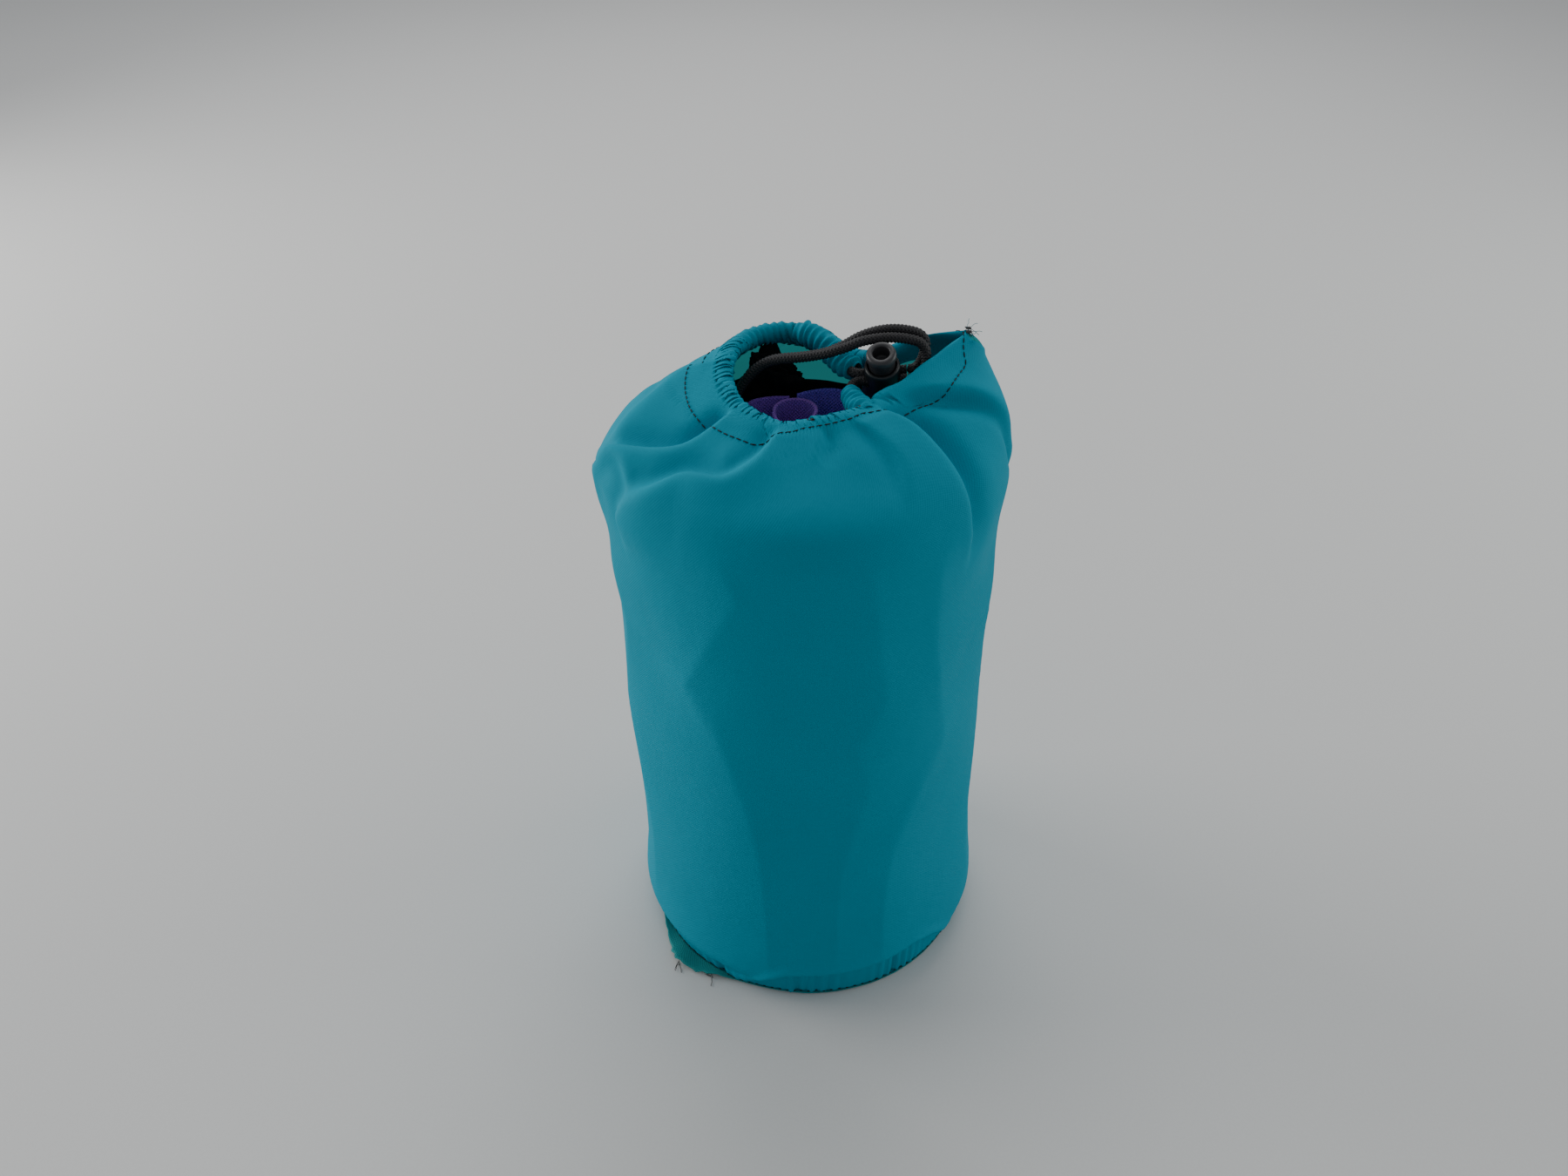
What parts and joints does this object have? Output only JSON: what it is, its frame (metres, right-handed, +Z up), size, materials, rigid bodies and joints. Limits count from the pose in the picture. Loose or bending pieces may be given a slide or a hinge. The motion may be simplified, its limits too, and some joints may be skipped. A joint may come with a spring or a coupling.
{
  "type": "drawcord stuff sack",
  "caption": "Round-based drawcord stuff sack in plain-weave nylon, packed full, with a gathered casing, looped cord and sprung cord lock.",
  "frame": {"origin": "centre of the round base's underside, on the floor", "axes": "+Z up from the base to the mouth, +X to the side the cord lock is on, +Y to the back"},
  "size_m": [0.1526, 0.1512, 0.2671],
  "materials": {
    "teal_nylon": "plain-weave coated nylon",
    "nylon_inside": "coated inner face",
    "black_thread": "sewing thread",
    "charcoal_cord": "braided cord",
    "black_plastic": "moulded, satin",
    "spring_steel": "drawn wire",
    "violet_strap": "smooth bonded edge",
    "indigo_strap": "smooth bonded edge",
    "black_pouch": "matt",
    "load_lining": "soft packed cloth"
  },
  "bodies": {
    "sack": {"base_disc": "teal_nylon", "body_panel": "teal_nylon", "casing_hem": "teal_nylon", "hem_edge_front": "teal_nylon", "hem_edge_back": "teal_nylon", "base_seam_allowance": "nylon_inside", "side_seam_allowance": "nylon_inside", "base_stitching": "black_thread", "side_seam_stitching": "black_thread", "casing_stitching": "black_thread", "seam_bartack": "black_thread", "drawcord": "charcoal_cord", "cord_tail_back": "charcoal_cord", "cord_tail_front": "charcoal_cord", "cord_knot": "charcoal_cord", "violet_strap_ring": "violet_strap", "violet_strap_left": "violet_strap", "indigo_strap_right": "indigo_strap", "pouch_roll": "black_pouch", "pouch_edge": "black_pouch", "packed_load": "load_lining"},
    "cord_lock": {"lock_barrel": "black_plastic", "lock_spring": "spring_steel"},
    "button": {"lock_button": "black_plastic"}
  },
  "joints": [
    {"name": "lock_slide", "type": "slide", "parent": "sack", "child": "cord_lock", "axis": [0.9928, -0.0507, 0.1087], "range_m": [0, 0.003]},
    {"name": "button_press", "type": "slide", "parent": "cord_lock", "child": "button", "axis": [0.12, 0.4198, -0.8996], "range_m": [0, 0.003], "stiffness_N_per_m": 1500, "springref_m": -0.002, "deforming": ["lock_spring"]}
  ]
}
